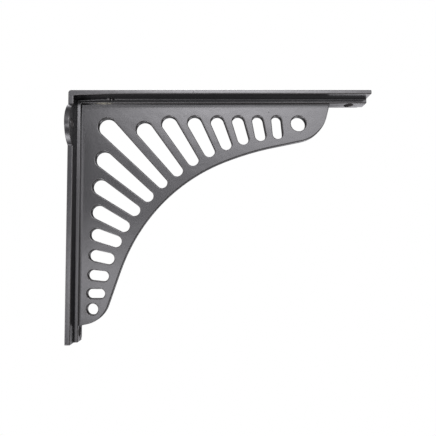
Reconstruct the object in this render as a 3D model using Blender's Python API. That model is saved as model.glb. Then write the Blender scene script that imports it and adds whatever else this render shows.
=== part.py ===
"""A cast-iron shelf bracket: two flat plates at a right angle, joined by a web pierced with sunray slots.

The whole bracket is one casting. The shelf rests on the top plate, and the back plate is screwed to
the wall. X runs out from the wall, Z runs up, and the bracket is the same on both sides of Y = 0.
The origin is in the middle of the back plate's wall face.

Outlines are drawn in millimetres from the outer corner of the two plates: x out from the wall face,
z down (negative) from the shelf face. The finished object is then lifted to the origin above.
"""

import bpy
import bmesh
from math import acos, atan2, ceil, cos, hypot, pi, radians, sin, tan

MM = 0.001

# The two arms
SHELF_ARM = 200.0  # wall face to the tip of the shelf plate
WALL_ARM = 161.5  # shelf face to the foot of the wall plate
PLATE_WIDTH = 26.0
SHELF_PLATE = 2.8  # thickness over most of its length
SHELF_PLATE_ROOT = 3.6  # thickness at the wall
ROOT_LENGTH = 28.0  # the thick root runs out this far from the wall
WALL_PLATE = 3.5
CORNER_ROUND = 1.6  # the worn outer corner

# The rib that stiffens each plate and carries the web
RIB_WIDTH = 8.4
SHELF_RIB = 3.0  # how deep it stands off its plate
WALL_RIB = 2.2

# The web
WEB = 4.8  # its thickness
FILLET_WIDTH = 1.4  # where it grows out of the rib, on each side
FILLET_REACH = 3.0  # how far the fillet runs down the web
ARC_CENTRE = (143.8, -156.2)  # of the middle stretch of the great concave arc
ARC_RADIUS = 118.8
ARC_START = radians(111.9)  # the middle stretch runs from here to ARC_END
ARC_END = radians(157.7)
SHELF_FLANK_RADIUS = 201.0  # the arc carries on flatter at each end
WALL_FLANK_RADIUS = 178.0
SHELF_LOBE = (149.4, -8.7)  # centre of the rounded end under the shelf
SHELF_LOBE_RADIUS = 23.4
SHELF_LOBE_LEAN = radians(16)  # how far the end edge leans out as it meets the rib
WALL_LOBE = (7.7, -133.7)
WALL_LOBE_RADIUS = 17.1
WALL_LOBE_LEAN = radians(12)

# The sunray slots, counted from 0 in the corner: positive along the shelf, negative down the wall
SHELF_SLOTS = 8  # the last one on each arm is a round hole
WALL_SLOTS = 8
RAY_CENTRE = (146.6, -152.4)  # the rays spread from here
LOW_RAY_CENTRE = (127.7, -134.2)  # what the lowest slots on the wall arm point at
LOW_SLOTS = 4  # they are the slots from this one down
CORNER_RAY = radians(46.67)  # angle of the corner slot
RAY_STEP = radians(5.86)  # from one slot to the next
SHELF_STEP_LOSS = radians(0.034)  # by which the steps close up towards each tip
WALL_STEP_LOSS = radians(0.067)
CORNER_SLOTS = (0, -1)  # the two long slots in the corner
CORNER_INSET = 15.0  # from the outer face of the plate to the near end of those two
BESIDE_INSET = 17.5  # the same for the first slot along the shelf
SHELF_INSET = 13.9  # and for the other slots of the shelf arm
WALL_INSET = 13.2
WALL_INSET_STEP = 0.57  # the wall slots creep towards the wall by this much each
CORNER_SLOT_RADIUS = 6.15  # of the outer, wide end
SHELF_TIP_RADIUS = 3.3
WALL_TIP_RADIUS = 2.9
SHELF_TAPER = 1.15  # how fast the slots grow narrower away from the corner: 1 is evenly
WALL_TAPER = 1.35
CORNER_NARROW = 3.65  # radius of the inner, narrow end
SHELF_NARROW = 4.0
WALL_NARROW = 3.85
CORNER_BAND = 6.2  # metal left between the slots and the arc
SHELF_BAND = 6.0
SHELF_BAND_STEP = 0.23  # the band widens along the shelf by this much each slot
WALL_BAND = 7.2
WALL_BAND_STEP = 0.3  # and narrows down the wall by this much each slot
SHELF_ROUND = (152.4, -19.5)  # the round holes that end the rows
SHELF_ROUND_RADIUS = 5.35
WALL_ROUND = (14.0, -141.4)
WALL_ROUND_RADIUS = 3.7

# The screw holes and the ear that two of them go through
SCREW_RADIUS = 3.1
SHELF_SCREW = 188.7  # from the wall face
WALL_SCREW = -155.2  # from the shelf face
EAR_RADIUS = 16.0
EAR_OFFSET = 4.5  # its round sides are struck from this far either side of the middle
EAR_DROP = -23.1  # its height
EAR_SCREW_OFFSET = 15.2

# How finely curves are cut into flats
ARC_FLAT = 3.0  # length of a flat on the great arc
SHELF_LOBE_STEPS = 18  # flats round each lobe
WALL_LOBE_STEPS = 15
SLOT_STEPS = 15  # flats round each slot end
ROUND_STEPS = 36  # flats round a whole hole
FILLET_STEPS = 5
EAR_STEPS = 24
BURIED = 1.0  # how far a joined shape runs into its neighbour
CLEAR = 2.0  # how far a cutter runs past the face it cuts


def arc(centre, radius, start, end, steps):
    """Points on an arc, both ends included."""
    turns = [start + (end - start) * i / steps for i in range(steps + 1)]
    return [(centre[0] + radius * cos(t), centre[1] + radius * sin(t)) for t in turns]


def angle_to(centre, point):
    """The direction of a point from a centre, between 0 and a full turn."""
    return atan2(point[1] - centre[1], point[0] - centre[0]) % (2 * pi)


def crossing_tangent(centre_a, radius_a, centre_b, radius_b, side):
    """Where a line touches two circles that lie on opposite sides of it."""
    dx = centre_b[0] - centre_a[0]
    dz = centre_b[1] - centre_a[1]
    turn = atan2(dz, dx) + side * acos((radius_a + radius_b) / hypot(dx, dz))
    touch_a = (centre_a[0] + radius_a * cos(turn), centre_a[1] + radius_a * sin(turn))
    touch_b = (centre_b[0] - radius_b * cos(turn), centre_b[1] - radius_b * sin(turn))
    return touch_a, touch_b


def flank_centre(radius, turn):
    """The centre of a flatter arc that carries the great arc on smoothly from one of its ends."""
    step = ARC_RADIUS - radius
    return (ARC_CENTRE[0] + step * cos(turn), ARC_CENTRE[1] + step * sin(turn))


def flat_arc(centre, radius, start, end):
    """An arc cut into flats of about the same length, whatever its radius."""
    return arc(centre, radius, start, end, ceil(radius * abs(end - start) / ARC_FLAT))


def web_outline():
    """The web's edge, from the rib under the shelf round the arc to the rib on the wall."""
    shelf_flank = flank_centre(SHELF_FLANK_RADIUS, ARC_START)
    wall_flank = flank_centre(WALL_FLANK_RADIUS, ARC_END)
    shelf_end, flank_start = crossing_tangent(SHELF_LOBE, SHELF_LOBE_RADIUS,
                                              shelf_flank, SHELF_FLANK_RADIUS, 1)
    wall_end, flank_end = crossing_tangent(WALL_LOBE, WALL_LOBE_RADIUS,
                                           wall_flank, WALL_FLANK_RADIUS, -1)
    shelf = arc(SHELF_LOBE, SHELF_LOBE_RADIUS, 2 * pi - SHELF_LOBE_LEAN,
                angle_to(SHELF_LOBE, shelf_end), SHELF_LOBE_STEPS)
    wall = arc(WALL_LOBE, WALL_LOBE_RADIUS, angle_to(WALL_LOBE, wall_end) - 2 * pi,
               WALL_LOBE_LEAN - pi / 2, WALL_LOBE_STEPS)
    middle = flat_arc(shelf_flank, SHELF_FLANK_RADIUS, angle_to(shelf_flank, flank_start), ARC_START)
    middle += flat_arc(ARC_CENTRE, ARC_RADIUS, ARC_START, ARC_END)[1:]
    middle += flat_arc(wall_flank, WALL_FLANK_RADIUS, ARC_END, angle_to(wall_flank, flank_end))[1:]
    # Straight lean from each lobe into the ribs
    top = -(SHELF_PLATE + SHELF_RIB) + BURIED
    back = WALL_PLATE + WALL_RIB - BURIED
    reach = top - shelf[0][1]
    shelf_foot = (shelf[0][0] + reach * tan(SHELF_LOBE_LEAN), top)
    reach = wall[-1][0] - back
    wall_foot = (back, wall[-1][1] - reach * tan(WALL_LOBE_LEAN))
    return [shelf_foot] + shelf + middle + wall + [wall_foot, (back, top)]


def slot_outline(outer, inner, wide, narrow):
    """A tapered slot: two arcs of different radius and their common tangents."""
    dx = inner[0] - outer[0]
    dz = inner[1] - outer[1]
    along = atan2(dz, dx)
    open_angle = acos((wide - narrow) / hypot(dx, dz))
    far = arc(outer, wide, along + open_angle, along + 2 * pi - open_angle, SLOT_STEPS)
    near = arc(inner, narrow, along - open_angle, along + open_angle, SLOT_STEPS)
    return far + near


def ray_angle(slot):
    """The angle below the horizontal of the ray that a slot's outer end lies on."""
    count = abs(slot)
    loss = SHELF_STEP_LOSS if slot > 0 else WALL_STEP_LOSS
    turn = RAY_STEP * count - loss * count * count
    return CORNER_RAY + (turn if slot > 0 else -turn)


def slot_radii(slot):
    """The wide and the narrow end's radius."""
    if slot == 0:
        return CORNER_SLOT_RADIUS, CORNER_NARROW
    if slot > 0:
        share = 1 - slot / SHELF_SLOTS
        wide = SHELF_TIP_RADIUS + (CORNER_SLOT_RADIUS - SHELF_TIP_RADIUS) * share ** SHELF_TAPER
        return wide, min(wide, SHELF_NARROW)
    share = 1 + slot / WALL_SLOTS
    wide = WALL_TIP_RADIUS + (CORNER_SLOT_RADIUS - WALL_TIP_RADIUS) * share ** WALL_TAPER
    return wide, min(wide, WALL_NARROW)


def slot_inset(slot):
    """How far in from the outer face of its plate a slot stops."""
    if slot in CORNER_SLOTS:
        return CORNER_INSET
    if slot == 1:
        return BESIDE_INSET
    return SHELF_INSET if slot > 0 else WALL_INSET - WALL_INSET_STEP * (-slot - 2)


def slot_band(slot):
    """How much metal is left between a slot and the great arc."""
    if slot in CORNER_SLOTS:
        return CORNER_BAND
    if slot > 0:
        return SHELF_BAND + SHELF_BAND_STEP * (slot - 1)
    return WALL_BAND - WALL_BAND_STEP * (-slot - 1)


def slot_places(slot):
    """The centres of a slot's outer and inner ends."""
    wide, narrow = slot_radii(slot)
    ray = ray_angle(slot)
    # The outer end touches the inset line of its arm
    inset = slot_inset(slot) + wide
    if slot >= 0:
        outer = (RAY_CENTRE[0] + (inset + RAY_CENTRE[1]) / tan(ray), -inset)
    else:
        outer = (inset, RAY_CENTRE[1] + (RAY_CENTRE[0] - inset) * tan(ray))
    # The slot points at its ray centre, and stops a band's width short of the arc
    aim = LOW_RAY_CENTRE if slot <= -LOW_SLOTS else RAY_CENTRE
    dx = aim[0] - outer[0]
    dz = aim[1] - outer[1]
    dx, dz = dx / hypot(dx, dz), dz / hypot(dx, dz)
    keep = ARC_RADIUS + slot_band(slot) + narrow
    # Walk down the ray to the circle that the inner ends lie on
    px = outer[0] - ARC_CENTRE[0]
    pz = outer[1] - ARC_CENTRE[1]
    half = px * dx + pz * dz
    length = -half - (half * half - (px * px + pz * pz - keep * keep)) ** 0.5
    return outer, (outer[0] + length * dx, outer[1] + length * dz)


def slot_outlines():
    """All the slots, and the round hole that ends each row."""
    outlines = []
    for slot in range(1 - WALL_SLOTS, SHELF_SLOTS):
        outer, inner = slot_places(slot)
        outlines.append(slot_outline(outer, inner, *slot_radii(slot)))
    for centre, radius in ((SHELF_ROUND, SHELF_ROUND_RADIUS), (WALL_ROUND, WALL_ROUND_RADIUS)):
        outlines.append(arc(centre, radius, 0, 2 * pi, ROUND_STEPS)[:-1])
    return outlines


def add_prism(bm, outline, place, low, high):
    """A closed prism on an outline; place() puts an outline point at a height between low and high."""
    base = [bm.verts.new(place(point, low)) for point in outline]
    top = [bm.verts.new(place(point, high)) for point in outline]
    bm.faces.new(base)
    bm.faces.new(top)
    for i in range(len(outline)):
        j = (i + 1) % len(outline)
        bm.faces.new((base[i], base[j], top[j], top[i]))


def side_place(point, y):
    """An outline seen from the side, x and z."""
    return (point[0] * MM, y * MM, point[1] * MM)


def front_place(point, x):
    """An outline seen from the front of the wall plate, y and z."""
    return (x * MM, point[0] * MM, point[1] * MM)


def top_place(point, z):
    """An outline seen from above, x and y."""
    return (point[0] * MM, point[1] * MM, z * MM)


def new_object(name, bm, guide=False):
    """Closes a mesh's faces outwards and puts it in the scene; a guide is left out of the model."""
    bmesh.ops.recalc_face_normals(bm, faces=bm.faces[:])
    mesh = bpy.data.meshes.new(name)
    bm.to_mesh(mesh)
    bm.free()
    made = bpy.data.objects.new(name, mesh)
    bpy.context.scene.collection.objects.link(made)
    if guide:
        made.hide_render = True
        made.display_type = "WIRE"
    return made


def add_sweep(bm, section, stations):
    """Carries a closed section along stations; each station is a function of a section point."""
    rings = [[bm.verts.new(station(point)) for point in section] for station in stations]
    for ring, after in zip(rings, rings[1:]):
        for i in range(len(section)):
            j = (i + 1) % len(section)
            bm.faces.new((ring[i], ring[j], after[j], after[i]))
    bm.faces.new(rings[0])
    bm.faces.new(rings[-1])
    return rings


def flange_mesh():
    """The two plates and their ribs, one section mitred round the corner."""
    half = PLATE_WIDTH / 2
    rib = RIB_WIDTH / 2
    # Each point names the depth it lies at: on the face, on the plate's inside or on the rib
    section = [("face", half), ("face", -half), ("plate", -half), ("plate", -rib),
               ("rib", -rib), ("rib", rib), ("plate", rib), ("plate", half)]
    tip = {"face": 0, "plate": SHELF_PLATE, "rib": SHELF_PLATE + SHELF_RIB}
    root = {"face": 0, "plate": SHELF_PLATE_ROOT, "rib": SHELF_PLATE + SHELF_RIB}
    wall = {"face": 0, "plate": WALL_PLATE, "rib": WALL_PLATE + WALL_RIB}
    stations = [
        lambda p: side_place((SHELF_ARM, -tip[p[0]]), p[1]),
        lambda p: side_place((ROOT_LENGTH, -tip[p[0]]), p[1]),
        lambda p: side_place((wall[p[0]], -root[p[0]]), p[1]),
        lambda p: side_place((wall[p[0]], -WALL_ARM), p[1]),
    ]
    bm = bmesh.new()
    rings = add_sweep(bm, section, stations)
    corner = bm.edges.get(rings[2][:2])
    bmesh.ops.bevel(bm, geom=[corner], offset=CORNER_ROUND * MM, segments=2, profile=0.5,
                    affect="EDGES")
    return bm


def fillet_mesh():
    """The hollow fillet between web and rib, mitred round the corner and buried in both."""
    web = WEB / 2
    low = [(-BURIED, web + FILLET_WIDTH)]
    for i in range(FILLET_STEPS):
        turn = pi / 2 * i / FILLET_STEPS
        low.append((FILLET_REACH * (1 - cos(turn)), web + FILLET_WIDTH * (1 - sin(turn))))
    sink = 0.1
    low.append((FILLET_REACH, web - sink))
    section = low + [(depth, -y) for depth, y in reversed(low)]
    shelf_rib = SHELF_PLATE + SHELF_RIB
    wall_rib = WALL_PLATE + WALL_RIB
    outline = web_outline()
    shelf_end = outline[0][0] - FILLET_WIDTH
    wall_end = outline[-2][1] + FILLET_WIDTH
    stations = [
        lambda p: side_place((shelf_end, -shelf_rib - p[0]), p[1]),
        lambda p: side_place((wall_rib + p[0], -shelf_rib - p[0]), p[1]),
        lambda p: side_place((wall_rib + p[0], wall_end), p[1]),
    ]
    bm = bmesh.new()
    add_sweep(bm, section, stations)
    return bm


def web_mesh():
    """The web before it is pierced."""
    bm = bmesh.new()
    add_prism(bm, web_outline(), side_place, -WEB / 2, WEB / 2)
    return bm


def ear_mesh():
    """The round ear on the wall plate, for the two upper screws."""
    right = arc((EAR_OFFSET, EAR_DROP), EAR_RADIUS, -pi / 2, pi / 2, EAR_STEPS)
    left = arc((-EAR_OFFSET, EAR_DROP), EAR_RADIUS, pi / 2, 3 * pi / 2, EAR_STEPS)
    bm = bmesh.new()
    add_prism(bm, right + left, front_place, 0, WALL_PLATE)
    return bm


def slot_mesh():
    """A cutter for every slot and round hole in the web."""
    bm = bmesh.new()
    for outline in slot_outlines():
        add_prism(bm, outline, side_place, -WEB / 2 - CLEAR, WEB / 2 + CLEAR)
    return bm


def screw_mesh():
    """A cutter for the four screw holes."""
    bm = bmesh.new()
    shelf = arc((SHELF_SCREW, 0), SCREW_RADIUS, 0, 2 * pi, ROUND_STEPS)[:-1]
    add_prism(bm, shelf, top_place, -SHELF_PLATE - SHELF_RIB - CLEAR, CLEAR)
    wall = arc((0, WALL_SCREW), SCREW_RADIUS, 0, 2 * pi, ROUND_STEPS)[:-1]
    add_prism(bm, wall, front_place, -CLEAR, WALL_PLATE + WALL_RIB + CLEAR)
    for side in (-1, 1):
        ear = arc((side * EAR_SCREW_OFFSET, EAR_DROP), SCREW_RADIUS, 0, 2 * pi, ROUND_STEPS)[:-1]
        add_prism(bm, ear, front_place, -CLEAR, WALL_PLATE + CLEAR)
    return bm


def satin_black():
    """Satin black paint on cast iron."""
    material = bpy.data.materials.new("satin_black_iron")
    material.use_nodes = True
    shader = material.node_tree.nodes["Principled BSDF"]
    shader.inputs["Base Color"].default_value = (0.045, 0.045, 0.05, 1)
    shader.inputs["Roughness"].default_value = 0.42
    shader.inputs["Metallic"].default_value = 0.2
    return material


def combine(target, tool, operation):
    """Adds a shape to the casting or cuts it away."""
    step = target.modifiers.new(tool.name, "BOOLEAN")
    step.operation = operation
    step.solver = "EXACT"
    step.object = tool


def build():
    """The casting: plates and ribs, with web, fillet and ear joined on and every hole cut."""
    for old in list(bpy.data.objects):
        bpy.data.objects.remove(old, do_unlink=True)
    bracket = new_object("bracket", flange_mesh())
    bracket.data.materials.append(satin_black())
    joined = [("web", web_mesh()), ("fillet", fillet_mesh()), ("ear", ear_mesh())]
    cut = [("slots", slot_mesh()), ("screw_holes", screw_mesh())]
    for name, bm in joined:
        combine(bracket, new_object(name, bm, guide=True), "UNION")
    for name, bm in cut:
        combine(bracket, new_object(name, bm, guide=True), "DIFFERENCE")
    # Lift the corner so that the origin is in the middle of the wall face
    for made in bpy.data.objects:
        made.location.z = WALL_ARM / 2 * MM


build()
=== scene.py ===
# %% [markdown]
# # A cast-iron shelf bracket
# The bracket is a single casting: a plate for the shelf, a plate for the wall, a rib along each, and a
# web between them that is pierced with slots like sunrays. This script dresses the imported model. It
# rounds the casting's edges, adds the marks that the foundry left, paints it satin black, lights it as
# in a white photo tent and puts the camera where the photo was taken from.

from math import cos, hypot, radians, sin

import bmesh
import bpy
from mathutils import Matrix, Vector


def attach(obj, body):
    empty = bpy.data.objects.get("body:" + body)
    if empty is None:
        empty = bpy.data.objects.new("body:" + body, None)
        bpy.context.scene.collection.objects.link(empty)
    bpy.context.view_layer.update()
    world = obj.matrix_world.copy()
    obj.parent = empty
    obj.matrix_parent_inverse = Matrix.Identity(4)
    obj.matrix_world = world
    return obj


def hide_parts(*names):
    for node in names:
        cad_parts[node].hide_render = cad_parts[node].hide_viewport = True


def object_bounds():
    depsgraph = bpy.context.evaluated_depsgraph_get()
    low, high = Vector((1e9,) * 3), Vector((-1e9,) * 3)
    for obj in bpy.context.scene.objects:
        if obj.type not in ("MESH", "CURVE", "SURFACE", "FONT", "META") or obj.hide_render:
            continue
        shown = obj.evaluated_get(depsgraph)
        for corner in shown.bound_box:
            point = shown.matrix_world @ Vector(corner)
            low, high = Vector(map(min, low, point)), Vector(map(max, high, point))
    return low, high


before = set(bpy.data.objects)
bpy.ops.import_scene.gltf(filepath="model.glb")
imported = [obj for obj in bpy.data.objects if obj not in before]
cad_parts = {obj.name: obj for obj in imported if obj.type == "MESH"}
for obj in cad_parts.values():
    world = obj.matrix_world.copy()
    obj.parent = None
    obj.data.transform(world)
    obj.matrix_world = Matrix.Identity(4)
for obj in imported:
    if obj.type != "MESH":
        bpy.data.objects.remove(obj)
cad_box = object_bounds()
MM = 0.001
print("CAD box in mm", [[round(v / MM, 1) for v in corner] for corner in cad_box])

# %% [markdown]
# ## Working in millimetres, by place
# With no mouse, faces and edges are picked by where they lie. The numbers below are the few places on
# the casting that the later steps look for. All are measured as on a drawing, from the middle of the
# wall face: x out from the wall, y across the plates, z up.

# %% Places on the casting
SHELF_FACE = cad_box[1][2] / MM
FOOT = cad_box[0][2] / MM
TIP = cad_box[1][0] / MM
PLATE_SIDE = 13.0  # half the plates' width
RIB_SIDE = 4.2  # half the ribs' width
RIB_BASE_SIDE = 4.42  # the same at the wall rib's base, once its sides lean
WEB_SIDE = 2.4  # half the web's thickness
SHELF_RIB_UNDERSIDE = SHELF_FACE - 5.8
WALL_FRONT = 3.5  # x of the wall plate's front
WALL_RIB_FRONT = 5.7
WEB_TIP = 172.0  # x near which the web ends on the shelf rib
WEB_FOOT = SHELF_FACE - 149.5  # z near which the web ends on the wall rib
EAR_HEIGHT = SHELF_FACE - 23.1  # z of the ear's middle
SCREW_RADIUS = 3.1
SCREWS_DOWN = [(188.7, 0.0)]  # x and y of the hole that goes through the shelf plate
SCREWS_IN = [(0.0, SHELF_FACE - 155.2), (15.2, EAR_HEIGHT), (-15.2, EAR_HEIGHT)]  # y and z


# %% Helpers
def near(value, target, slack=0.06):
    """Is this y, on either side, or this x or z, at a place?"""
    return abs(abs(value) - target) < slack


def deselect_all():
    """The frame's nodes arrive selected, and an operator acts on all that is selected."""
    for other in bpy.context.selected_objects:
        other.select_set(False)


def only(piece):
    """Makes one piece the selected and active one."""
    deselect_all()
    piece.select_set(True)
    bpy.context.view_layer.objects.active = piece


def apply_modifier(piece, name):
    """Turns a modifier into plain mesh."""
    only(piece)
    bpy.ops.object.modifier_apply(modifier=name)


# %% [markdown]
# ## The casting
# The solid has the right outline, slots and holes, but its edges are as sharp as if they were milled.
# Sand casting can't make a sharp edge, and paint softens what is left. The bracket could be modelled
# anew with round edges, but a copy of the solid can't drift from what it stands for. So the copy is
# welded, and its flat areas are made whole again, so that no edge crosses them.

# %% Copy the solid and weld it
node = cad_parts["bracket"]
casting = node.copy()
casting.data = node.data.copy()
casting.name = "bracket_casting"
bpy.context.scene.collection.objects.link(casting)
only(casting)
bpy.ops.object.mode_set(mode="EDIT")
bpy.ops.mesh.select_all(action="SELECT")
bpy.ops.mesh.remove_doubles(threshold=0.02 * MM)
bpy.ops.mesh.dissolve_limited(angle_limit=radians(1.0))
welded = bmesh.from_edit_mesh(casting.data)
print("welded casting", len(welded.verts), "points", len(welded.faces), "faces")

# %% [markdown]
# ## Room for a rounder rib
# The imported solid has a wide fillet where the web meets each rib, which leaves hardly any flat on the
# rib's front. On the real casting the rib's own edge is rounder, and the fillet is narrower. A rounding
# can't be wider than the flat beside it, so the fillet's points are squeezed: towards the web on each
# side, and along the wall rib, below the origin, towards that rib too. The wall rib's sides also lean
# back a little, as a pattern's must to leave the sand, so the points at its base are spread. An edge
# across the inside corner is added before that, so that the long side faces stay flat.

# %% Narrow the fillet, and lean the wall rib's sides
FILLET_SHARE = 0.55  # how much of the fillet's reach across the rib is kept
LOW_FILLET_SHARE = 0.45  # how much of its reach along the web is kept, on the wall rib's lower part
FOOT_CLEAR = 10.2  # mm above the foot, where the screw hole's surroundings end
TIP_CLEAR = 4.0  # mm past the web's tip, where the fillet ends
HAIR = 0.01  # mm, so small a difference that two places count as one


def select_points(wanted):
    """Selects the casting's points whose place, in mm, is wanted."""
    bpy.ops.mesh.select_all(action="DESELECT")
    welded = bmesh.from_edit_mesh(casting.data)
    for point in welded.verts:
        point.select = wanted(point.co / MM)
    welded.select_flush(True)
    bmesh.update_edit_mesh(casting.data)
    print("points selected", sum(point.select for point in welded.verts))


def on_fillet(place):
    """Is this point on a fillet, away from the screw holes?"""
    beside_web = WEB_SIDE - HAIR < abs(place.y) < RIB_SIDE - 0.3
    clear_of_screws = place.x < WEB_TIP + TIP_CLEAR and place.z > FOOT + FOOT_CLEAR
    within_ribs = place.x > WALL_RIB_FRONT - 0.1 and place.z < SHELF_RIB_UNDERSIDE + 0.05
    return beside_web and clear_of_screws and within_ribs


def on_low_fillet(place):
    """Is this point beside the wall rib, below the origin?"""
    return place.x < WALL_RIB_FRONT + 2.5 and place.z < 0


def squeeze(wanted, factor, centre):
    """Scales the fillet's points that are wanted, about a centre in mm."""
    select_points(lambda place: on_fillet(place) and wanted(place))
    bpy.ops.transform.resize(value=factor, center_override=tuple(Vector(centre) * MM))


def on_wall_rib_base(place):
    """Is this point where the wall rib's side meets the wall plate?"""
    return near(place.y, RIB_SIDE) and near(place.x, WALL_FRONT)


def on_inside_corner(place):
    """Is this point where the two ribs' edges meet?"""
    on_wall_rib_edge = near(place.y, RIB_SIDE) and near(place.x, WALL_RIB_FRONT)
    return on_wall_rib_edge and near(place.z, SHELF_RIB_UNDERSIDE)


bpy.ops.mesh.select_mode(type="VERT")
squeeze(lambda place: place.y < -WEB_SIDE - HAIR, (1, FILLET_SHARE, 1), (0, -WEB_SIDE, 0))
squeeze(lambda place: place.y > WEB_SIDE + HAIR, (1, FILLET_SHARE, 1), (0, WEB_SIDE, 0))
squeeze(on_low_fillet, (LOW_FILLET_SHARE, 1, 1), (WALL_RIB_FRONT, 0, 0))
select_points(lambda place: on_inside_corner(place) or (on_wall_rib_base(place) and place.z > 0))
bpy.ops.mesh.vert_connect()
select_points(on_wall_rib_base)
bpy.ops.transform.resize(value=(1, RIB_BASE_SIDE / RIB_SIDE, 1), center_override=(0, 0, 0))

# %% [markdown]
# ## A little more metal round the slots
# The slots were measured on the photo between their dark rims. A rounding takes metal off a rim, so the
# finished slots would come out wider than they were measured. The web's narrow edges, which are the
# walls of the slots and the great arc, are therefore fattened by a hair before they are rounded.

# %% Fatten the web's edges
EXTRA = 0.12  # mm of metal added to each wall


def clear_of_ribs(place):
    """Is this point on the web proper, away from both ribs and their fillets?"""
    along = WALL_RIB_FRONT + 2.4 < place.x < WEB_TIP + 1.5
    upright = WEB_FOOT - 1.1 < place.z < SHELF_RIB_UNDERSIDE - 2.3
    return along and upright and abs(place.y) < WEB_SIDE + HAIR


def on_web_edge(face):
    """Is this face a wall of a slot, or part of the web's outer edge?"""
    return abs(face.normal.y) < 0.02 and all(clear_of_ribs(point.co / MM) for point in face.verts)


bpy.ops.mesh.select_mode(type="FACE")
bpy.ops.mesh.select_all(action="DESELECT")
welded = bmesh.from_edit_mesh(casting.data)
for face in welded.faces:
    face.select = on_web_edge(face)
bmesh.update_edit_mesh(casting.data)
print("faces of the web's edges", sum(face.select for face in welded.faces))
bpy.ops.transform.shrink_fatten(value=EXTRA * MM, use_even_offset=True)
bpy.ops.object.mode_set(mode="OBJECT")

# %% [markdown]
# ## Edges rounded by place
# One radius for every edge looks machined. On this casting, the rims of the slots and the great arc are
# the softest, the edges of the ribs and plates are a little tighter, and a screw hole is drilled, so its
# rim is only eased. The Bevel modifier can read a weight from each edge, so each edge gets the share of
# the widest rounding that suits its place. Hollow corners get a weight too, because sand leaves a small
# fillet there. The web's own rounding fades where the web runs out on a rib, for want of room.

# %% Give each edge its rounding
SHARP = radians(35)  # an edge that turns less than this belongs to a curve and is left alone
WIDEST = 1.0  # mm, the rounding of an edge with full weight
# The roundings of the other edges, in mm
DRILLED = 0.25  # the rims of the screw holes
IN_HOLLOW = 0.6  # the small fillet that sand leaves in a corner
RIB_BASE_HOLLOW = 0.3  # the same where the wall rib stands on its plate
WALL_RIB_EDGE = 0.5
SHELF_RIB_EDGE = 0.7
PLATE_EDGE = 0.65  # the long edges of both plates
OTHER_EDGE = 0.5  # the ends of the plates and ribs, and the ear
WEB_EDGE = 0.78  # the rims of the slots and the great arc
WEB_END_EDGE = 0.25  # the same where the web runs out on a rib
WIDENING = 0.1  # how much the web's rounding grows with each mm from there
PAST_WEB = 0.2  # what is left of it on the rib, past the web's end
RIB_END = 8.0  # mm, how far from the tip and the foot a rib's square end reaches


def on_screw_rim(place):
    """Is this place on the rim of a drilled hole?"""
    down = [hypot(place.x - x, place.y - y) for x, y in SCREWS_DOWN]
    inward = [hypot(place.y - y, place.z - z) for y, z in SCREWS_IN]
    reach = SCREW_RADIUS + 0.1
    return min(down) < reach or (min(inward) < reach and place.x < WALL_RIB_FRONT + 1)


def at_rib_end(place):
    """Is this place on the square end of a rib, away from the web?"""
    return place.x > TIP - RIB_END or place.z < FOOT + RIB_END


def rounding_of(place, hollow):
    """The radius in mm of the edge whose middle is here."""
    if on_screw_rim(place):
        return DRILLED
    beyond_web = place.x > WEB_TIP or place.z < WEB_FOOT
    if near(place.y, RIB_SIDE) or near(place.y, RIB_BASE_SIDE):
        if hollow:
            return IN_HOLLOW if place.x > WALL_RIB_FRONT else RIB_BASE_HOLLOW
        return WALL_RIB_EDGE if place.x < WALL_RIB_FRONT + 0.1 else SHELF_RIB_EDGE
    if beyond_web and abs(place.y) < RIB_SIDE and not at_rib_end(place):
        return PAST_WEB if near(place.y, WEB_SIDE) and not hollow else 0.0
    if hollow:
        return IN_HOLLOW
    if near(place.y, WEB_SIDE):
        from_end = min(WEB_TIP - place.x, place.z - WEB_FOOT)
        return min(WEB_EDGE, WEB_END_EDGE + WIDENING * from_end)
    if near(place.y, PLATE_SIDE):
        return PLATE_EDGE
    return OTHER_EDGE


casting_mesh = bmesh.new()
casting_mesh.from_mesh(casting.data)
weight = casting_mesh.edges.layers.float.new("bevel_weight_edge")
rounded = 0
for edge in casting_mesh.edges:
    turn = edge.calc_face_angle_signed(0)
    if abs(turn) > SHARP:
        middle = (edge.verts[0].co + edge.verts[1].co) / 2 / MM
        edge[weight] = rounding_of(middle, turn < 0) / WIDEST
        rounded += 1
casting_mesh.to_mesh(casting.data)
casting_mesh.free()
print("edges to round", rounded)

# %% Round them
rounding = casting.modifiers.new("rounding", "BEVEL")
rounding.width = WIDEST * MM
rounding.segments = 4
rounding.limit_method = "WEIGHT"
rounding.miter_outer = "MITER_ARC"
rounding.use_clamp_overlap = False
rounding.loop_slide = False
apply_modifier(casting, "rounding")
print("rounded casting", len(casting.data.vertices), "points", len(casting.data.polygons), "faces")

# %% [markdown]
# ## Lumps and beads
# Near the corner, where the rib meets the shelf plate, the photo shows a small lump: a grain of metal
# that the grinder couldn't reach, with paint round it. Two beads of paint hang from the tops of the
# long slots. They could be painted with bump, but they break the lines of the rib and the rims, so they
# are real shape: small balls, squashed and roughened, and joined to the casting with a Boolean so that
# the piece stays one closed skin.

# %% Model the lump and the beads
LUMPS = [
    # mm: x, y, z and radius
    (24.4, -5.0, 77.5, 1.05),
    (26.3, -4.6, 77.4, 0.7),
    (23.9, -1.9, 65.8, 0.6),
    (48.4, -1.9, 63.5, 0.6),
]
ROUGHENED = 0.12  # mm, how far a point of a ball may move at random
SQUASHED = (1.35, 1.0, 0.85)  # longer along the shelf, lower in height


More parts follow.
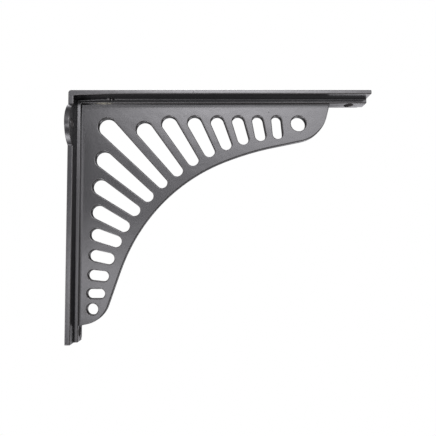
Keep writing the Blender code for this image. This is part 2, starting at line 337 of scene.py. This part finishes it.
def join_lump(x, y, z, radius):
    """Adds one squashed ball to the casting."""
    deselect_all()
    bpy.ops.mesh.primitive_ico_sphere_add(subdivisions=3, radius=radius * MM, location=(0, 0, 0))
    lump = bpy.context.active_object
    lump.name = "lump"
    bpy.ops.object.mode_set(mode="EDIT")
    bpy.ops.mesh.select_all(action="SELECT")
    bpy.ops.transform.vertex_random(offset=ROUGHENED * MM, seed=3)
    bpy.ops.mesh.vertices_smooth(factor=0.5, repeat=1)
    bpy.ops.transform.resize(value=SQUASHED)
    bpy.ops.object.mode_set(mode="OBJECT")
    lump.location = Vector((x, y, z)) * MM
    bpy.ops.object.transform_apply(location=True, rotation=True, scale=True)
    joining = casting.modifiers.new("joining", "BOOLEAN")
    joining.operation = "UNION"
    joining.solver = "EXACT"
    joining.object = lump
    apply_modifier(casting, "joining")
    bpy.data.objects.remove(lump)


for values in LUMPS:
    join_lump(*values)
print("casting with its lumps and beads", len(casting.data.polygons), "faces")

# %% [markdown]
# ## Where paint runs thin
# Wet paint draws back from an outer edge, which is also where a bracket is rubbed. To paint that, the
# shader has to know how sharply the surface turns. Cycles can guess it, but only on an even mesh, so it is
# measured here instead: each point stores how much the edges around it turn, and the paint reads that.

# %% Measure how the surface turns
FULL_TURN = 2.5  # radians for each mm, where paint is at its thinnest
FLAT_WIDTH = 0.6  # mm, a face wider than this is flat, and its paint is even
NARROWEST = 0.1  # mm, a face is never taken for narrower than this


def bend_at(point):
    """How sharply the casting turns at a point: 1 on a sharp outer edge, -1 in a sharp hollow."""
    widths = [2 * face.calc_area() / face.calc_perimeter() / MM for face in point.link_faces]
    if max(widths) > FLAT_WIDTH:
        return 0.0
    turns = [edge.calc_face_angle_signed(0) for edge in point.link_edges]
    sharpness = max(turns, key=abs) / max(min(widths), NARROWEST)
    return max(-1.0, min(1.0, sharpness / FULL_TURN))


bend = casting.data.attributes.new("bend", "FLOAT", "POINT")
casting_mesh = bmesh.new()
casting_mesh.from_mesh(casting.data)
bends = [bend_at(point) for point in casting_mesh.verts]
casting_mesh.free()
bend.data.foreach_set("value", bends)
print("bend from", round(min(bends), 2), "to", round(max(bends), 2))

# %% Smooth shading with flat faces kept flat
STILL_SMOOTH = radians(40)  # an edge that turns less than this is shaded as part of a curve
only(casting)
bpy.ops.object.shade_smooth_by_angle(angle=STILL_SMOOTH)
weighted = casting.modifiers.new("flat_faces", "WEIGHTED_NORMAL")
weighted.keep_sharp = True
apply_modifier(casting, "flat_faces")

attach(casting, "root")
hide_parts("bracket")
print("triangles", sum(len(face.vertices) - 2 for face in casting.data.polygons))

# %% [markdown]
# ## Shader sums
# A painted surface is mostly sums of patterns. A small class wraps a socket, so that `grain * 0.3 + 0.2`
# adds the Math nodes by itself. Colours and vectors don't go through Math nodes, because those turn a
# colour grey: they have nodes of their own, made by the same method as all the others.

# %% A socket that can be added and multiplied
class Signal:
    """A node's output that takes part in plain sums."""

    def __init__(self, desk, socket):
        self.desk = desk
        self.socket = socket

    def _sum(self, operation, first, second):
        return self.desk.node("ShaderNodeMath", {"operation": operation}, {0: first, 1: second})

    def __add__(self, other):
        return self._sum("ADD", self, other)

    __radd__ = __add__

    def __mul__(self, other):
        return self._sum("MULTIPLY", self, other)

    __rmul__ = __mul__

    def __sub__(self, other):
        return self._sum("SUBTRACT", self, other)

    def __rsub__(self, other):
        return self._sum("SUBTRACT", other, self)

    def __pow__(self, other):
        return self._sum("POWER", self, other)

    def __truediv__(self, other):
        return self._sum("DIVIDE", self, other)

    def __abs__(self):
        return self._sum("ABSOLUTE", self, 0.0)


class Desk:
    """Adds nodes to one tree."""

    def __init__(self, tree):
        self.tree = tree

    def node(self, kind, settings=None, inputs=None, output=0):
        """One node: its type, its settings, then the values or links of its sockets."""
        made = self.tree.nodes.new(kind)
        for name, value in (settings or {}).items():
            setattr(made, name, value)
        for name, value in (inputs or {}).items():
            if isinstance(value, Signal):
                self.tree.links.new(value.socket, made.inputs[name])
            else:
                made.inputs[name].default_value = value
        return Signal(self, made.outputs[output])

    def ramp(self, value, low, high):
        """0 below low, 1 above high, and smooth between."""
        return self.node("ShaderNodeMapRange", {"interpolation_type": "SMOOTHSTEP"},
                         {"Value": value, "From Min": low, "From Max": high})

    def mix(self, share, first, second):
        """Two colours mixed. Math nodes would turn them grey."""
        return self.node("ShaderNodeMix", {"data_type": "RGBA"},
                         {"Factor": share, 6: first, 7: second}, output=2)


# %% [markdown]
# ## Satin black paint
# The real finish is one coat of satin black over a sand casting. Close up it is not flat: the sand
# leaves a slow waviness and a fine grain, the paint dries with a faint orange peel, a few pits show, and
# the coat is thin on the outer edges and thick in the hollows. Most of what is seen in black paint is
# its gloss, so the patterns go into roughness and bump far more than into colour. The marks come next:
# worn edges, the mould's parting line along the middle, and a lighter yellowish spot by the inside
# corner. That spot is partly paint rubbed through and partly a painted warm glint, a reflection put into
# the colour.

# %% Mix the paint
paint = bpy.data.materials.new("satin_black_paint")
paint.use_nodes = True
desk = Desk(paint.node_tree)
shader = paint.node_tree.nodes["Principled BSDF"]
place = desk.node("ShaderNodeTexCoord", output="Object")


def noise(size, detail=2.0, rough=0.5):
    """A soft pattern whose features are about this many mm across."""
    values = {"Vector": place, "Scale": 1 / (size * MM), "Detail": detail, "Roughness": rough}
    return desk.node("ShaderNodeTexNoise", inputs=values)


def cut(axis):
    """One of the three coordinates, in mm."""
    return desk.node("ShaderNodeSeparateXYZ", inputs={0: place}, output=axis) / MM


def spread(x, y, z, reach_x, reach_y, reach_z):
    """0 at one place on the casting, in mm, and 1 at the edge of a rounded patch round it."""
    offsets = [(across - x) / reach_x, (depth - y) / reach_y, (rise - z) / reach_z]
    return (offsets[0] ** 2 + offsets[1] ** 2 + offsets[2] ** 2) ** 0.5


across, depth, rise = cut(0), cut(1), cut(2)
clouds = noise(30.0)  # slow changes along the arms
sand = noise(1.1, detail=3.0, rough=0.6)  # the grain that the mould leaves
waves = noise(9.0)  # the casting isn't quite flat
peel = noise(2.2, detail=1.0)  # the orange peel of the paint

# %% Marks on it
turned = desk.node("ShaderNodeAttribute", {"attribute_name": "bend"}, output="Fac")
thin = desk.ramp(turned, 0.15, 0.8)  # where the paint drew back
cells = desk.node("ShaderNodeTexVoronoi", inputs={"Vector": place, "Scale": 1 / (5.5 * MM)})
pits = (1.0 - desk.ramp(cells, 0.03, 0.09)) * desk.ramp(noise(14.0), 0.52, 0.60)
mould_line = 1.0 - desk.ramp(abs(depth), 0.1, 0.45)
seam = mould_line * desk.ramp(noise(6.0), 0.35, 0.6)  # where the two halves of the mould met
# A lighter, yellowish patch by the inside corner: partly paint rubbed through, partly a painted warm glint,
# a reflection of light put into the colour.
glint_and_wear_patch = 1.0 - desk.ramp(spread(20.5, -3.7, 75.0, 6.5, 1.0, 0.8), 0.5, 1.2)
glint_and_wear_mask = glint_and_wear_patch * desk.ramp(sand, 0.3, 0.6)
print("nodes for the patterns and marks", len(paint.node_tree.nodes))

# %% Colour
BLACK = (0.0085, 0.0085, 0.0092, 1)
GREYED = (0.017, 0.0165, 0.017, 1)  # where the coat is dusty
WORN = (0.060, 0.056, 0.053, 1)  # where it is thin on an edge
BARE_AND_GLINT = (0.20, 0.19, 0.14, 1)  # where it is rubbed through, and where a warm glint is painted in

coat = desk.mix(clouds * 0.6 + sand * 0.4, BLACK, GREYED)
edged = desk.mix(thin * (0.25 + sand * 0.45), coat, WORN)
# The rubbed paint and the painted glint go into the colour here.
marked = desk.mix(glint_and_wear_mask * 0.8, edged, BARE_AND_GLINT)
paint.node_tree.links.new(marked.socket, shader.inputs["Base Color"])
print("nodes with the colours", len(paint.node_tree.nodes))

# %% Gloss and relief, in mm
gloss = 0.15 + clouds * 0.08 + sand * 0.08 - thin * 0.05 + pits * 0.1
paint.node_tree.links.new(gloss.socket, shader.inputs["Roughness"])
height = waves * 0.085 + peel * 0.006 + sand * 0.009 - pits * 0.05 + seam * 0.06
bump = desk.node("ShaderNodeBump", inputs={"Strength": 1.0, "Distance": MM, "Height": height})
paint.node_tree.links.new(bump.socket, shader.inputs["Normal"])
casting.data.materials.clear()
casting.data.materials.append(paint)
print("painted", casting.name, "with", paint.name, "in", len(paint.node_tree.nodes), "nodes")

# %% [markdown]
# ## The white tent
# The photo is a cut-out on pure white, so the floor and the backdrop only have to be white. They glow by
# themselves, just up to white: a brighter cloth would eat the thin dark rims of the slots. They are seen
# by the camera alone.

# %% Floor and backdrop
def white_stage(stage_piece, name):
    """Names a stage piece, makes it glow white and hides it from everything but the camera."""
    stage_piece.name = name
    cloth = bpy.data.materials.new(name + "_white")
    cloth.use_nodes = True
    cloth_shader = cloth.node_tree.nodes["Principled BSDF"]
    cloth_shader.inputs["Base Color"].default_value = (0, 0, 0, 1)
    cloth_shader.inputs["Specular IOR Level"].default_value = 0.0
    cloth_shader.inputs["Emission Color"].default_value = (1, 1, 1, 1)
    cloth_shader.inputs["Emission Strength"].default_value = 1.0
    cloth.cycles.emission_sampling = "NONE"
    stage_piece.data.materials.append(cloth)
    stage_piece.visible_diffuse = False
    stage_piece.visible_glossy = False
    stage_piece.visible_shadow = False


FLOOR_DROP = 0.30  # m below the origin
FLOOR_WIDTH = 6.0  # m
BACKDROP_RADIUS = 4.0  # m
deselect_all()
bpy.ops.mesh.primitive_plane_add(size=FLOOR_WIDTH, location=(0, 0, -FLOOR_DROP))
white_stage(bpy.context.active_object, "floor")
deselect_all()
bpy.ops.mesh.primitive_uv_sphere_add(segments=32, ring_count=16, radius=BACKDROP_RADIUS, location=(0, 0, 0))
white_stage(bpy.context.active_object, "backdrop")
print("floor", FLOOR_DROP, "m below the origin, backdrop", BACKDROP_RADIUS, "m round it")

# %% [markdown]
# ## The light
# Satin paint shows, blurred, what stands round it. The photo tells of a large softbox above the camera, a
# white table in front and below, softer light from both sides, and one light high behind. Hardly any
# stands straight behind, because the walls of the slots are dark. Each light is a soft round patch in the
# world, so that no lamp has to stand inside the backdrop. The places and brightness were tried until the
# paint took the photo's tones.

# %% Light
PANELS = [
    # name, degrees right of the camera, degrees up, sharpness, brightness
    ("softbox, left half", -3, 26, 75, 11.5),
    ("softbox, right half", 12, 28, 75, 13.5),
    ("softbox, lower edge", 15, 6, 75, 6.6),
    ("softbox, far right", 25, 18, 75, 3.0),
    ("table front, left", -15, -3, 190, 8.0),
    ("table front, middle", -5, -5, 100, 5.5),
    ("table front, right", 16, -19, 66, 3.4),
    ("left side light", -51, -8, 33, 8.0),
    ("left cloth", -43, 33, 11, 2.2),
    ("right side light", 70, 15, 35, 4.0),
    ("table under the ear", -45, -49, 38, 18.5),
    ("table behind, left", -119, -51, 34, 8.8),
    ("table behind, right", 150, -16, 75, 4.1),
    ("cloth low behind", 180, -40, 12, 0.9),
    ("back softbox", 180, 60, 22, 10.0),
]
AMBIENT = 0.03  # what reaches the bracket from everywhere else
LIGHT_TINT = (1.0, 0.985, 1.035, 1)  # a little cool, as the greys of the photo are

world = bpy.data.worlds.new("tent")
bpy.context.scene.world = world
world.use_nodes = True
sky = Desk(world.node_tree)
toward = sky.node("ShaderNodeTexCoord", output="Generated")


def direction(right, up):
    """A direction seen from the bracket: degrees right of the camera, and degrees up."""
    turn, climb = radians(right), radians(up)
    return (sin(turn) * cos(climb), -cos(turn) * cos(climb), sin(climb))


def panel(right, up, sharpness, brightness):
    """A soft round patch of light: exp(sharpness * (cosine - 1))."""
    cosine = sky.node("ShaderNodeVectorMath", {"operation": "DOT_PRODUCT"},
                      {0: toward, 1: direction(right, up)}, output="Value")
    patch = sky.node("ShaderNodeMath", {"operation": "EXPONENT"}, {0: (cosine - 1.0) * sharpness})
    return patch * brightness


light = AMBIENT + sum(panel(*values[1:]) for values in PANELS)
background = world.node_tree.nodes["Background"]
background.inputs["Color"].default_value = LIGHT_TINT
world.node_tree.links.new(light.socket, background.inputs["Strength"])
bpy.context.scene.view_settings.view_transform = "Standard"
print("patches of light", len(PANELS))

# %% [markdown]
# ## The camera
# The photo was taken from a little below the middle of the bracket, looking up slightly: the underside
# of the shelf rib shows, and the wall plate's front shows beside the web. The place and the lens were
# worked out from the plates' vanishing lines and from the web's corners.

# %% Camera
camera_data = bpy.data.cameras.new("camera")
camera = bpy.data.objects.new("camera", camera_data)
bpy.context.scene.collection.objects.link(camera)
camera.location = (0.08306, -0.27066, -0.02848)
camera.rotation_euler = (radians(95.425), radians(1.108), radians(-2.618))
camera_data.sensor_width = 36.0
camera_data.lens = 33.557
camera_data.clip_start = 0.01
bpy.context.scene.camera = camera
print("camera at", [round(v, 3) for v in camera.location], "m")
